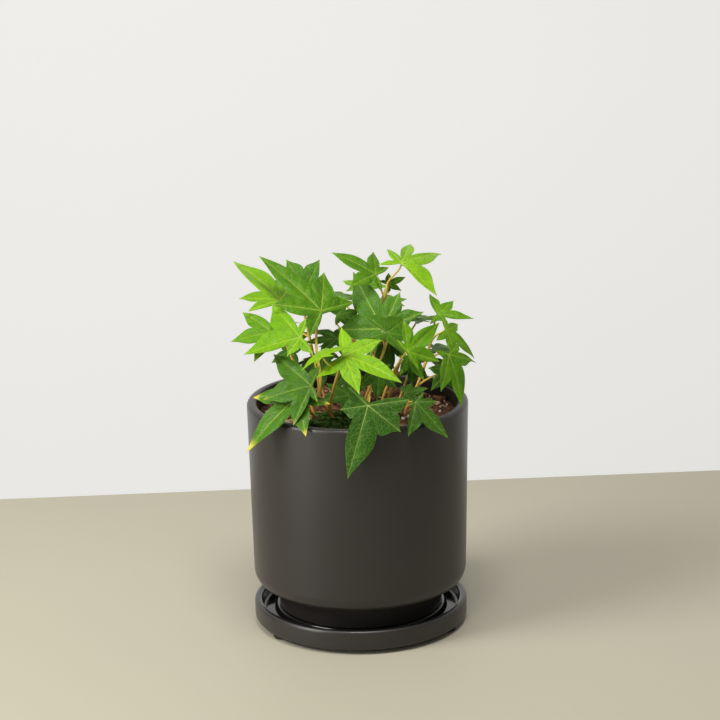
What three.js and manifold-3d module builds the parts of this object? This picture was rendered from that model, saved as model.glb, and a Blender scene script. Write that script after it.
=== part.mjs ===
// Potted English ivy: a matte charcoal cylinder pot on a saucer with three rubber feet,
// filled with potting mix and planted with twelve leafy ivy stems.
// Millimetres, +Z up. The origin is on the pot's axis at the level the feet stand on,
// and -Y is the front of the plant.

import * as THREE from 'three';
import { mergeVertices } from 'three/addons/utils/BufferGeometryUtils.js';
import Module from 'manifold-3d';

const wasm = await Module();
wasm.setup();

// Saucer and its feet
const FOOT_HEIGHT = 2;
const FOOT_RADIUS = 5;
const FOOT_RING_RADIUS = 57;
const FOOT_ANGLES = [-145, -27, 90];
const SAUCER_RADIUS = 63.5;
const SAUCER_HEIGHT = 12.5;
const SAUCER_WALL = 4.5;
const SAUCER_FLOOR = 4.5;
const RING_OUTER = 50.5;
const RING_INNER = 43;
const RING_HEIGHT = 4;

// Pot
const POT_TOP_RADIUS = 65;
const POT_BASE_RADIUS = 63.3;
const POT_WALL = 6;
const POT_FLOOR = 8;
const POT_BASE_Z = 25.5;
const POT_TOP_Z = 136;
const POT_LIP = 2.4;
const POT_HEEL_WIDTH = 6;
const POT_HEEL_HEIGHT = 9;
const POT_FOOT_OUTER = 48.5;
const POT_FOOT_INNER = 41;
const DRAIN_RADIUS = 6;

// Potting mix
const SOIL_TOP_Z = 128;
const SOIL_CROWN = 2;
const SOIL_GAP = 0.3;
const STEM_HOLE_RADIUS = 2.6;
const ROOT_DEPTH = 22;
const CHIP_COUNT = 32;

// Ivy
const STEM_RADIUS = 1.4;
const PETIOLE_RADIUS = 0.8;
const BLADE_THICKNESS = 0.7;
const BLADE_FOLD = 0.13;
const LATHE_STEPS = 40;

const saucerBaseZ = FOOT_HEIGHT;
const saucerTopZ = saucerBaseZ + SAUCER_HEIGHT;
const saucerFloorZ = saucerBaseZ + SAUCER_FLOOR;
const ringTopZ = saucerFloorZ + RING_HEIGHT;
const potFloorZ = POT_BASE_Z + POT_FLOOR;

const group = new THREE.Group();

function addPart(name, geometry, color, roughness) {
  const material = new THREE.MeshStandardMaterial({ color, roughness, metalness: 0 });
  const mesh = new THREE.Mesh(geometry, material);
  mesh.name = name;
  group.add(mesh);
}

// Solids from geometries and back
function toSolid(geometry) {
  const bare = geometry.clone();
  bare.deleteAttribute('normal');
  bare.deleteAttribute('uv');
  const merged = mergeVertices(bare, 1e-4);
  const vertProperties = new Float32Array(merged.attributes.position.array);
  const triVerts = new Uint32Array(merged.index.array);
  return new wasm.Manifold(new wasm.Mesh({ numProp: 3, vertProperties, triVerts }));
}

function toGeometry(solid) {
  const mesh = solid.getMesh();
  const geometry = new THREE.BufferGeometry();
  geometry.setAttribute('position', new THREE.BufferAttribute(new Float32Array(mesh.vertProperties), 3));
  geometry.setIndex(new THREE.BufferAttribute(new Uint32Array(mesh.triVerts), 1));
  return geometry;
}

// A quarter round of the profile between two angles in degrees
function arc(centreR, centreZ, radiusR, radiusZ, fromDegrees, toDegrees, steps) {
  const points = [];
  for (let i = 0; i <= steps; i++) {
    const angle = THREE.MathUtils.degToRad(fromDegrees + ((toDegrees - fromDegrees) * i) / steps);
    points.push([centreR + radiusR * Math.cos(angle), centreZ + radiusZ * Math.sin(angle)]);
  }
  return points;
}

// A turned solid about +Z from a profile of [radius, height] points
function turned(profile, steps = LATHE_STEPS) {
  const points = profile.map(([radius, height]) => new THREE.Vector2(radius, height));
  points.push(points[0].clone());
  const geometry = new THREE.LatheGeometry(points, steps);
  geometry.rotateX(Math.PI / 2);
  return geometry;
}

// A round bar along +Z
function bar(radius, fromZ, toZ, x, y, sides) {
  const geometry = new THREE.CylinderGeometry(radius, radius, toZ - fromZ, sides);
  geometry.rotateX(Math.PI / 2);
  geometry.translate(x, y, (fromZ + toZ) / 2);
  return geometry;
}

// Saucer: a shallow dish with a raised ring that carries the pot
function saucer() {
  const inner = SAUCER_RADIUS - SAUCER_WALL;
  const lip = SAUCER_WALL / 2 - 0.1;
  const profile = [
    [0, saucerBaseZ],
    ...arc(SAUCER_RADIUS - 3, saucerBaseZ + 3, 3, 3, -90, 0, 3),
    ...arc(SAUCER_RADIUS - lip, saucerTopZ - lip, lip, lip, 0, 90, 3),
    ...arc(inner + lip, saucerTopZ - lip, lip, lip, 90, 180, 3),
    ...arc(inner - 2, saucerFloorZ + 2, 2, 2, 0, -90, 2),
    [RING_OUTER + 0.6, saucerFloorZ],
    ...arc(RING_OUTER - 1, ringTopZ - 1, 1, 1, 0, 90, 2),
    [RING_INNER, ringTopZ],
    [RING_INNER - 0.6, saucerFloorZ],
    [0, saucerFloorZ],
  ];
  return turned(profile);
}

// Rubber feet under the saucer
function foot(angle) {
  const radians = THREE.MathUtils.degToRad(angle);
  const profile = [
    [0, 0],
    [FOOT_RADIUS - 0.8, 0],
    [FOOT_RADIUS, 0.8],
    [FOOT_RADIUS, FOOT_HEIGHT],
    [0, FOOT_HEIGHT],
  ];
  const geometry = turned(profile, 12);
  geometry.translate(FOOT_RING_RADIUS * Math.cos(radians), FOOT_RING_RADIUS * Math.sin(radians), 0);
  return geometry;
}

// Pot: a slightly tapered cup on an inset foot ring, with a drainage hole
function pot() {
  const innerTop = POT_TOP_RADIUS - POT_WALL;
  const innerBase = POT_BASE_RADIUS - POT_WALL;
  const profile = [
    [DRAIN_RADIUS, POT_BASE_Z],
    [POT_FOOT_INNER - 0.5, POT_BASE_Z],
    [POT_FOOT_INNER, ringTopZ],
    [POT_FOOT_OUTER - 0.8, ringTopZ],
    [POT_FOOT_OUTER, ringTopZ + 0.8],
    [POT_FOOT_OUTER + 0.5, POT_BASE_Z],
    ...arc(POT_BASE_RADIUS - POT_HEEL_WIDTH, POT_BASE_Z + POT_HEEL_HEIGHT,
      POT_HEEL_WIDTH, POT_HEEL_HEIGHT, -90, 0, 4),
    ...arc(POT_TOP_RADIUS - POT_LIP, POT_TOP_Z - POT_LIP, POT_LIP, POT_LIP, 0, 90, 3),
    ...arc(innerTop + POT_LIP, POT_TOP_Z - POT_LIP, POT_LIP, POT_LIP, 90, 180, 3),
    [innerBase, potFloorZ + 4],
    [innerBase - 4, potFloorZ],
    [DRAIN_RADIUS, potFloorZ],
  ];
  return turned(profile);
}

// Seeded draws, for what the plant has by chance
function drawsFrom(seed) {
  let state = seed;
  return () => {
    state = (state * 16807) % 2147483647;
    return state / 2147483647;
  };
}

// Ivy leaf: the usual angles of its lobes, and their order round the outline
const FAN = [0, 54, -54, 118, -118];
const LOBE_ORDER = [3, 1, 0, 2, 4];
const NOTCH = 0.04;

// One side of a lobe, from the bottom of a cut to the lobe's tip, as a cubic curve
function flank(cut, tip) {
  const axis = tip.clone().normalize();
  const outward = cut.clone().addScaledVector(axis, -cut.dot(axis)).normalize();
  const length = tip.distanceTo(cut);
  const leave = axis.clone().multiplyScalar(0.98).addScaledVector(outward, 0.2);
  const halfTip = THREE.MathUtils.degToRad(20);
  const arrive = axis.clone().multiplyScalar(Math.cos(halfTip)).addScaledVector(outward, -Math.sin(halfTip));
  const first = cut.clone().addScaledVector(leave, 0.4 * length);
  const second = tip.clone().addScaledVector(arrive, -0.45 * length);
  return new THREE.CubicBezierCurve(cut, first, second, tip);
}

// Outline of a flat leaf, with its stalk end at the origin and its middle lobe along +X
function leafOutline(leaf, stepsPerFlank) {
  const angles = LOBE_ORDER.map((k) => THREE.MathUtils.degToRad(leaf.fan[k]));
  const tips = LOBE_ORDER.map((k, i) => new THREE.Vector2(leaf.reach[k], 0).rotateAround(
    new THREE.Vector2(), angles[i]));
  const cuts = [new THREE.Vector2(-NOTCH, NOTCH / 2).multiplyScalar(leaf.reach[0])];
  for (let i = 0; i < 4; i++) {
    const depth = leaf.cut * Math.min(tips[i].length(), tips[i + 1].length());
    const middle = (angles[i] + angles[i + 1]) / 2;
    cuts.push(new THREE.Vector2(depth, 0).rotateAround(new THREE.Vector2(), middle));
  }
  cuts.push(new THREE.Vector2(-NOTCH, -NOTCH / 2).multiplyScalar(leaf.reach[0]));
  const outline = [];
  tips.forEach((tip, i) => {
    const up = flank(cuts[i], tip).getPoints(stepsPerFlank);
    const down = flank(cuts[i + 1], tip).getPoints(stepsPerFlank).reverse();
    outline.push(...up.slice(0, -1), ...down.slice(0, -1));
  });
  return outline;
}

// Axes of a leaf: along its middle lobe, to its left and out of its upper face
function leafAxes(leaf) {
  const [heading, climb, roll] = [leaf.heading, leaf.climb, leaf.roll].map(THREE.MathUtils.degToRad);
  const along = new THREE.Vector3(
    Math.cos(climb) * Math.cos(heading), Math.cos(climb) * Math.sin(heading), Math.sin(climb));
  const level = new THREE.Vector3(-Math.sin(heading), Math.cos(heading), 0);
  const over = along.clone().cross(level);
  const left = level.clone().multiplyScalar(Math.cos(roll)).addScaledVector(over, Math.sin(roll));
  const up = over.clone().multiplyScalar(Math.cos(roll)).addScaledVector(level, -Math.sin(roll));
  return { along, left, up };
}

// A point of the flat leaf set in space: folded up from each main vein, drooping to the tips
function bladePoint(leaf, axes, flat, lift) {
  const size = leaf.reach[0];
  let offVein = Infinity;
  for (const angle of leaf.fan) {
    const vein = new THREE.Vector2(1, 0).rotateAround(new THREE.Vector2(), THREE.MathUtils.degToRad(angle));
    if (flat.dot(vein) >= 0) offVein = Math.min(offVein, Math.abs(flat.cross(vein)));
  }
  if (offVein === Infinity) offVein = flat.length();
  const sideways = flat.y + (leaf.sweep * flat.x * Math.abs(flat.x)) / size;
  const height = BLADE_FOLD * offVein - (leaf.droop * flat.lengthSq()) / size + lift;
  return new THREE.Vector3(...leaf.at)
    .addScaledVector(axes.along, flat.x)
    .addScaledVector(axes.left, sideways)
    .addScaledVector(axes.up, height);
}

// Leaf blade as a closed solid, with the same triangles on both faces: a fan round the stalk
// end out to half of each cut and lobe, and a band from there to the edge
function blade(leaf) {
  const axes = leafAxes(leaf);
  const outline = leafOutline(leaf, 2);
  const inner = outline.filter((point, i) => i % 2 === 0).map((point) => point.clone().multiplyScalar(0.5));
  const flats = [new THREE.Vector2(), ...inner, ...outline];
  const positions = [];
  for (const lift of [BLADE_THICKNESS / 2, -BLADE_THICKNESS / 2]) {
    for (const flat of flats) positions.push(...bladePoint(leaf, axes, flat, lift).toArray());
  }
  const under = flats.length;
  const index = [];
  function bothFaces(a, b, c) {
    index.push(a, c, b, a + under, b + under, c + under);
  }
  for (let i = 0; i < inner.length; i++) {
    const [near, nextNear] = [1 + i, 1 + ((i + 1) % inner.length)];
    const far = 1 + inner.length + 2 * i;
    const nextFar = 1 + inner.length + ((2 * i + 2) % outline.length);
    bothFaces(0, near, nextNear);
    bothFaces(near, far, far + 1);
    bothFaces(near, far + 1, nextNear);
    bothFaces(nextNear, far + 1, nextFar);
    for (const [a, b] of [[far, far + 1], [far + 1, nextFar]]) {
      index.push(a, b + under, a + under, a, b, b + under);
    }
  }
  const geometry = new THREE.BufferGeometry();
  geometry.setAttribute('position', new THREE.Float32BufferAttribute(positions, 3));
  geometry.setIndex(index);
  return geometry;
}

// A round stalk along a curve
function stalk(curve, radius, steps) {
  const section = new THREE.Shape();
  for (let i = 0; i < 5; i++) {
    const angle = (2 * Math.PI * i) / 5;
    const point = [radius * Math.cos(angle), radius * Math.sin(angle)];
    if (i === 0) section.moveTo(...point);
    else section.lineTo(...point);
  }
  return new THREE.ExtrudeGeometry(section, { steps, extrudePath: curve });
}

// Leaf stalk: leaves the stem at a node and meets the blade from behind and below
function petiole(stemCurve, leaf) {
  const axes = leafAxes(leaf);
  const start = stemCurve.getPointAt(leaf.node);
  const end = new THREE.Vector3(...leaf.at).addScaledVector(axes.along, 0.5).addScaledVector(axes.up, -0.1);
  const span = start.distanceTo(end);
  const outOf = stemCurve.getTangentAt(leaf.node);
  const first = start.clone().addScaledVector(outOf, 0.3 * span);
  const second = end.clone().addScaledVector(axes.along, -0.2 * span).addScaledVector(axes.up, -0.28 * span);
  return stalk(new THREE.CubicBezierCurve3(start, first, second, end), PETIOLE_RADIUS, 3);
}

// The stems, each with where it roots, the way it bends, the leaves that it bears and its branches.
// A leaf has its stalk end (at), the compass heading and climb of its middle lobe, its roll about it,
// the reach and angle (fan) of its middle, left, right, left base and right base lobes, how deep its
// cuts stay from the centre (cut), its curve in its own plane (sweep), its droop, and the place on
// its limb where its stalk starts (node).
const FRONT_STEMS = [
  {
    name: 'ivy_stem_fork', color: 0x6cb41f, root: [-14, -21],
    bends: [[-18, -26, 138], [-22, -31, 146], [-21, -29, 157], [-23, -20, 172], [-23, -14, 182]],
    leaves: [
      { at: [-20, -10, 192], heading: 155, climb: 41, roll: -23, reach: [50, 30, 30, 21, 25],
        fan: [0, 45, -53, 112, -108], cut: 0.52, sweep: 0, droop: 0.11, node: 0.98 },
      { at: [-32, -32, 182], heading: -177, climb: -11, roll: -41, reach: [34, 14, 32, 14, 14],
        fan: [0, 47, -67, 113, -114], cut: 0.5, sweep: 0.02, droop: 0.11, node: 0.54 },
    ],
    branches: [
      {
        node: 0.35, bends: [[-15.5, -28, 142], [-12, -34, 157], [-9, -39, 167]],
        leaves: [
          { at: [-7, -48, 175], heading: -20, climb: -10, roll: 40, reach: [37, 25, 26, 21, 21],
            fan: [0, 49, -49, 116, -120], cut: 0.45, sweep: -0.14, droop: 0.11, node: 0.98 },
          { at: [-19, -56, 177], heading: 101, climb: 10, roll: -25, reach: [16, 15, 17, 7, 7],
            fan: [0, 78, -77, 118, -118], cut: 0.5, sweep: 0, droop: 0.25, node: 0.8 },
        ],
      },
    ],
  },
  {
    name: 'ivy_stem_left', color: 0x62b02a, root: [-26, -4],
    bends: [[-29, -4, 140], [-36, -3, 158], [-41, -2, 172], [-42, -1, 182]],
    leaves: [
      { at: [-44, 2, 196], heading: 127, climb: 24, roll: 0, reach: [49, 25, 34, 25, 23],
        fan: [0, 67, -54, 97, -118], cut: 0.5, sweep: 0.01, droop: 0.11, node: 0.98 },
      { at: [-48, -22, 183], heading: -179, climb: -9, roll: -47, reach: [25, 21, 24, 12, 12],
        fan: [0, 51, -48, 118, -118], cut: 0.5, sweep: 0, droop: 0.11, node: 0.8 },
    ],
  },
  {
    name: 'ivy_stem_rim_left', color: 0x2f6b22, root: [-24, -18],
    bends: [[-27, -26, 136], [-29, -34, 143], [-27, -39, 149]],
    leaves: [
      { at: [-26, -48, 158], heading: 173, climb: -14, roll: -49, reach: [30, 25, 35, 11, 14],
        fan: [0, 57, -53, 103, -118], cut: 0.52, sweep: 0.01, droop: 0.11, node: 0.98 },
      { at: [-33, -44, 151], heading: -155, climb: -32, roll: -24, reach: [43, 27, 31, 20, 20],
        fan: [0, 59, -54, 118, -118], cut: 0.46, sweep: -0.01, droop: 0.24, node: 0.75 },
    ],
  },
  {
    name: 'ivy_stem_rim_front', color: 0x2c6a20, root: [2, -24],
    bends: [[4, -33, 138], [6, -42, 147], [7, -48, 152]],
    leaves: [
      { at: [6, -62, 150], heading: -130, climb: -63, roll: -34, reach: [43, 24, 16, 24, 15],
        fan: [0, 67, -66, 114, -117], cut: 0.7, sweep: 0, droop: 0.12, node: 0.98 },
      { at: [-4, -14, 142], heading: -155, climb: 1, roll: -29, reach: [20, 15, 17, 9, 9],
        fan: FAN, cut: 0.6, sweep: 0, droop: 0.11, node: 0.4 },
      { at: [13, -34, 164], heading: -100, climb: -60, roll: -13, reach: [19, 16, 17, 7, 8],
        fan: [0, 44, -43, 112, -108], cut: 0.6, sweep: 0, droop: 0.13, node: 0.75 },
    ],
  },
  {
    name: 'ivy_stem_rim_right', color: 0x2f6e22, root: [20, -22],
    bends: [[22, -28, 138], [24, -34, 142], [27, -40, 145]],
    leaves: [
      { at: [33, -50, 148], heading: -30, climb: -41, roll: 30, reach: [28, 13, 22, 8, 6],
        fan: [0, 55, -54, 100, -100], cut: 0.55, sweep: 0.04, droop: 0.11, node: 0.98 },
      { at: [27, -40, 150], heading: -9, climb: 18, roll: 47, reach: [14, 8, 9, 6, 5],
        fan: [0, 48, -53, 105, -109], cut: 0.7, sweep: 0, droop: 0.1, node: 0.8 },
      { at: [32, -24, 164], heading: -95, climb: -50, roll: 0, reach: [15, 13, 12, 7, 7],
        fan: [0, 46, -42, 105, -105], cut: 0.6, sweep: 0, droop: 0.12, node: 0.7 },
    ],
  },
  {
    name: 'ivy_stem_right_front', color: 0x4f9f24, root: [12, -14],
    bends: [[15, -20, 142], [20, -26, 157], [24, -32, 166]],
    leaves: [
      { at: [29, -40, 175], heading: 25, climb: 34, roll: 64, reach: [26, 19, 20, 9, 12],
        fan: [0, 54, -57, 91, -98], cut: 0.5, sweep: 0.01, droop: 0.11, node: 0.98 },
      { at: [30, -28, 169], heading: -54, climb: -37, roll: 22, reach: [18, 13, 14, 7, 7],
        fan: [0, 61, -52, 111, -118], cut: 0.5, sweep: 0.01, droop: 0.12, node: 0.9 },
    ],
  },
  {
    name: 'ivy_stem_right', color: 0x5faa22, root: [28, -6],
    bends: [[34, -5, 142], [40, -4, 158], [43, -4, 170], [45, -2, 178]],
    leaves: [
      { at: [48, 4, 185], heading: -5, climb: -4, roll: 34, reach: [21, 15, 8, 18, 9],
        fan: [0, 56, -46, 111, -118], cut: 0.5, sweep: 0, droop: 0.07, node: 0.98 },
      { at: [52, -10, 179], heading: 10, climb: -35, roll: 37, reach: [24, 14, 17, 11, 12],
        fan: [0, 58, -54, 118, -111], cut: 0.5, sweep: -0.16, droop: 0.15, node: 0.85 },
      { at: [53, -23, 168], heading: -56, climb: -54, roll: -4, reach: [31, 18, 24, 13, 9],
        fan: [0, 72, -32, 120, -117], cut: 0.55, sweep: -0.04, droop: 0.17, node: 0.68 },
      { at: [54, -8, 155], heading: -147, climb: -36, roll: -42, reach: [17, 13, 13, 8, 8],
        fan: FAN, cut: 0.6, sweep: 0, droop: 0.12, node: 0.5 },
    ],
  },
  {
    name: 'ivy_stem_top', color: 0x6bb520, root: [6, 6],
    bends: [[9, 9, 145], [12, 10, 165], [15, 10, 185], [18, 7, 198], [19, 5, 205]],
    leaves: [
      { at: [27, 0, 217], heading: 77, climb: 15, roll: 9, reach: [34, 21, 35, 14, 33],
        fan: [0, 35, -34, 110, -130], cut: 0.34, sweep: 0.02, droop: 0.16, node: 0.98 },
      { at: [12, 12, 208], heading: 174, climb: 30, roll: -31, reach: [29, 21, 18, 13, 12],
        fan: [0, 61, -65, 130, -115], cut: 0.5, sweep: -0.01, droop: 0.1, node: 0.85 },
      { at: [19, 18, 200], heading: 27, climb: 18, roll: 42, reach: [13, 9, 9, 6, 6],
        fan: FAN, cut: 0.5, sweep: 0, droop: 0.12, node: 0.8 },
      { at: [27, 4, 182], heading: 46, climb: 3, roll: -1, reach: [22, 17, 17, 12, 11],
        fan: FAN, cut: 0.5, sweep: 0, droop: 0.13, node: 0.65 },
      { at: [19, 4, 171], heading: -84, climb: -72, roll: -11, reach: [22, 17, 16, 9, 8],
        fan: [0, 40, -38, 105, -105], cut: 0.56, sweep: 0, droop: 0.1, node: 0.58 },
      { at: [-4, 4, 152], heading: -104, climb: -58, roll: 8, reach: [23, 17, 16, 10, 9],
        fan: [0, 42, -44, 105, -105], cut: 0.56, sweep: 0, droop: 0.1, node: 0.3 },
    ],
  },
  {
    name: 'ivy_stem_middle', color: 0x34802a, root: [2, -8],
    bends: [[6, -9, 142], [11, -9, 155], [16, -8, 167], [18, -7, 173]],
    leaves: [
      { at: [16, -8, 180], heading: 128, climb: 42, roll: -53, reach: [44, 31, 24, 20, 26],
        fan: [0, 54, -55, 118, -102], cut: 0.6, sweep: -0.02, droop: 0.12, node: 0.98 },
      { at: [18, -24, 182], heading: 12, climb: -15, roll: 34, reach: [21, 23, 17, 21, 12],
        fan: [0, 50, -54, 139, -151], cut: 0.5, sweep: 0.01, droop: 0.1, node: 0.9 },
      { at: [-11, 10, 184], heading: 19, climb: 10, roll: 43, reach: [15, 10, 15, 7, 7],
        fan: [0, 36, -57, 118, -118], cut: 0.6, sweep: 0.01, droop: 0.12, node: 0.75 },
    ],
  },
];

// Leaves that the front hides: lobes in the usual proportions, with small seeded draws
const USUAL_LOBES = [1, 0.74, 0.74, 0.44, 0.44];
const draw = drawsFrom(20713);

function plainLeaf(at, heading, climb, size, node) {
  const reach = USUAL_LOBES.map((part) => size * part * (0.92 + 0.16 * draw()));
  const roll = -12 + 24 * draw();
  return { at, heading, climb, roll, reach, fan: FAN, cut: 0.56, sweep: 0, droop: 0.13, node };
}

const BACK_STEMS = [
  {
    name: 'ivy_stem_back_left', color: 0x3f8f2a, root: [-18, 12],
    bends: [[-22, 15, 142], [-26, 17, 160], [-29, 18, 176], [-31, 17, 188]],
    leaves: [
      { at: [-30, 30, 194], heading: 136, climb: 50, roll: -36, reach: [24, 21, 23, 11, 11],
        fan: [0, 42, -51, 118, -118], cut: 0.6, sweep: 0, droop: 0.12, node: 0.98 },
      plainLeaf([-36, 26, 194], 132, 2, 26, 0.95),
      plainLeaf([-44, 26, 174], 150, -18, 28, 0.75),
      plainLeaf([-30, 40, 166], 112, -22, 33, 0.7),
      plainLeaf([-24, 44, 150], 108, -30, 32, 0.5),
      { at: [-20, 5, 160], heading: -100, climb: -62, roll: 6, reach: [20, 16, 16, 9, 9],
        fan: [0, 42, -42, 105, -105], cut: 0.6, sweep: 0, droop: 0.1, node: 0.6 },
      { at: [-39, 8, 164], heading: -128, climb: -55, roll: -8, reach: [17, 14, 14, 8, 8],
        fan: [0, 44, -44, 108, -108], cut: 0.6, sweep: 0, droop: 0.1, node: 0.72 },
    ],
  },
  {
    name: 'ivy_stem_back', color: 0x3a8826, root: [-2, 20],
    bends: [[-2, 24, 142], [-2, 27, 158], [-2, 28, 174], [0, 28, 186]],
    leaves: [
      plainLeaf([4, 30, 195], 80, 12, 24, 0.98),
      plainLeaf([-8, 34, 188], 112, 5, 27, 0.9),
      plainLeaf([9, 38, 176], 75, -15, 31, 0.78),
      plainLeaf([-4, 46, 158], 95, -30, 32, 0.6),
      { at: [-11, 10, 170], heading: -171, climb: 0, roll: -30, reach: [19, 16, 15, 9, 10],
        fan: [0, 40, -41, 100, -105], cut: 0.56, sweep: 0, droop: 0.12, node: 0.6 },
    ],
  },
  {
    name: 'ivy_stem_back_right', color: 0x4a9626, root: [18, 16],
    bends: [[22, 19, 142], [27, 21, 156], [31, 22, 168]],
    leaves: [
      plainLeaf([36, 26, 176], 30, 4, 27, 0.98),
      plainLeaf([21, 28, 186], 100, 10, 20, 0.95),
      plainLeaf([46, 20, 160], 6, -14, 29, 0.8),
      plainLeaf([28, 42, 162], 60, -25, 33, 0.75),
      plainLeaf([42, 38, 150], 50, -28, 29, 0.55),
      { at: [12, 19, 160], heading: -88, climb: -74, roll: 5, reach: [20, 16, 16, 9, 9],
        fan: [0, 42, -42, 105, -105], cut: 0.6, sweep: 0, droop: 0.1, node: 0.5 },
    ],
  },
];

const STEMS = [...FRONT_STEMS, ...BACK_STEMS];

function toPoint(place) {
  return new THREE.Vector3(...place);
}

// A limb with its leaves and branches, fused into one solid
function growLimb(curve, limb) {
  let solid = toSolid(stalk(curve, STEM_RADIUS, 8));
  for (const leaf of limb.leaves) {
    solid = solid.add(toSolid(petiole(curve, leaf))).add(toSolid(blade(leaf)));
  }
  for (const branch of limb.branches ?? []) {
    const start = curve.getPointAt(branch.node);
    const branchCurve = new THREE.CatmullRomCurve3([start, ...branch.bends.map(toPoint)]);
    solid = solid.add(growLimb(branchCurve, branch));
  }
  return solid;
}

function ivyStem(stem) {
  const [x, y] = stem.root;
  const rootEnd = new THREE.Vector3(x, y, SOIL_TOP_Z - ROOT_DEPTH);
  const neck = new THREE.Vector3(x, y, SOIL_TOP_Z - 6);
  const collar = new THREE.Vector3(x, y, SOIL_TOP_Z + 1);
  const guides = [rootEnd, neck, collar, ...stem.bends.map(toPoint)];
  return growLimb(new THREE.CatmullRomCurve3(guides), stem);
}

// Potting mix: fills the pot to its crown, with bark chips on top and a plain hole for each stem
function soil() {
  const topRadius = POT_TOP_RADIUS - POT_WALL - SOIL_GAP;
  const baseRadius = POT_BASE_RADIUS - POT_WALL - SOIL_GAP;
  const profile = [
    [0, potFloorZ],
    [baseRadius - 5, potFloorZ],
    [baseRadius - 0.4, potFloorZ + 5],
    [topRadius - 0.6, SOIL_TOP_Z],
    [topRadius * 0.7, SOIL_TOP_Z + SOIL_CROWN * 0.5],
    [topRadius * 0.35, SOIL_TOP_Z + SOIL_CROWN * 0.9],
    [0, SOIL_TOP_Z + SOIL_CROWN],
  ];
  let solid = toSolid(turned(profile));
  const chipDraw = drawsFrom(409);
  for (let i = 0; i < CHIP_COUNT; i++) {
    const turn = i * 2.39996;
    const reach = 53 * Math.sqrt((i + 0.5) / CHIP_COUNT);
    const [x, y] = [reach * Math.cos(turn), reach * Math.sin(turn)];
    const tilt = -0.5 + chipDraw();
    const spin = 2 * Math.PI * chipDraw();
    const chip = new THREE.BoxGeometry(4 + 3 * chipDraw(), 2.5 + 2 * chipDraw(), 2.4);
    chip.rotateX(tilt);
    chip.rotateZ(spin);
    chip.translate(x, y, SOIL_TOP_Z + SOIL_CROWN * (1 - reach / topRadius) + 0.4);
    const nearStem = STEMS.some(({ root }) => Math.hypot(root[0] - x, root[1] - y) < 6);
    if (!nearStem) solid = solid.add(toSolid(chip));
  }
  for (const { root } of STEMS) {
    const hole = bar(STEM_HOLE_RADIUS, SOIL_TOP_Z - ROOT_DEPTH, SOIL_TOP_Z + 10, ...root, 10);
    solid = solid.subtract(toSolid(hole));
  }
  return toGeometry(solid);
}

addPart('saucer', saucer(), 0x2b2a29, 0.5);
FOOT_ANGLES.forEach((angle, i) => addPart(`foot_${i + 1}`, foot(angle), 0x141414, 0.8));
addPart('pot', pot(), 0x3a3835, 0.75);
addPart('soil', soil(), 0x4a2f22, 0.95);
for (const stem of STEMS) addPart(stem.name, toGeometry(ivyStem(stem)), stem.color, 0.5);

export default group;
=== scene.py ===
# Potted English ivy: finished pot, saucer, feet, potting mix and leafy stems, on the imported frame.
# Lengths in the lists and functions are millimetres in the frame's axes; meshes are made in metres.

import math

import bmesh
import bpy
import numpy as np
from mathutils import Matrix, Vector, noise


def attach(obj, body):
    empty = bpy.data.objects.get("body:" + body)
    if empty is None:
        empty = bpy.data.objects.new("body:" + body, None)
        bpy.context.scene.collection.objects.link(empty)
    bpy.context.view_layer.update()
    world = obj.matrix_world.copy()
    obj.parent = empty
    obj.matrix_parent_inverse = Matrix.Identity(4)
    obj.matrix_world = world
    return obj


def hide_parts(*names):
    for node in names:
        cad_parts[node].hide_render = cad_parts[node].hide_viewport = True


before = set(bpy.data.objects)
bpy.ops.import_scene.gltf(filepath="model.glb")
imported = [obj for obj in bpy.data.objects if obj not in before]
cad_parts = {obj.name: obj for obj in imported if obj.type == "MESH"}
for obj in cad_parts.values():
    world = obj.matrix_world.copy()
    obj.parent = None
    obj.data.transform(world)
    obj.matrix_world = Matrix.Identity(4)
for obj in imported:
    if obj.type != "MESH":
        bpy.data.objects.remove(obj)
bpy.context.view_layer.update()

MM = 0.001

# Saucer and feet
FOOT_HEIGHT = 2
FOOT_RADIUS = 5
FOOT_RING_RADIUS = 57
FOOT_ANGLES = [-145, -27, 90]
SAUCER_RADIUS = 63.5
SAUCER_TOP_Z = 14.5
SAUCER_FLOOR_Z = 6.5
SAUCER_WALL = 4.5
RING_OUTER = 50.5
RING_INNER = 43
RING_TOP_Z = 10.5

# Pot
POT_TOP_RADIUS = 65
POT_BASE_RADIUS = 63.3
POT_WALL = 6
POT_BASE_Z = 25.5
POT_FLOOR_Z = 33.5
POT_TOP_Z = 136
POT_LIP = 2.4
POT_HEEL_WIDTH = 6
POT_HEEL_HEIGHT = 9
POT_FOOT_OUTER = 48.5
POT_FOOT_INNER = 41
DRAIN_RADIUS = 6
LATHE_STEPS = 160
SMALL_ROUND = 0.8

# Potting mix
SOIL_TOP_Z = 128
SOIL_CROWN = 2
SOIL_RADIUS = 58.7
ROOT_DEPTH = 22
BED_RINGS = 56
BED_STEPS = 150
STEM_CLEARANCE = 1.6
TUFTS = 160
LEAFLETS = 6

# Stems and stalks
STEM_RADIUS = 1.05
STEM_TIP_RADIUS = 0.75
PETIOLE_RADIUS = 0.6
NODE_SWELL = 0.12
LINE_STEPS = 240
STEM_STEPS = 48
PETIOLE_STEPS = 16

# Blades
BLADE_HALF = 0.2
EDGE_INSET = 0.99
EDGE_HALF = 0.09
BLADE_FOLD = 0.13
FLANK_STEPS = 10
RINGS = 26
RIM_SHARE = 0.985
QUILT = 0.012
WAVE = 0.013
SIDE_VEIN_SPACING = 0.125
SIDE_VEIN_SLANT = 0.95
RIB_POINTS = 15
RIB_END = 0.9


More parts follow.
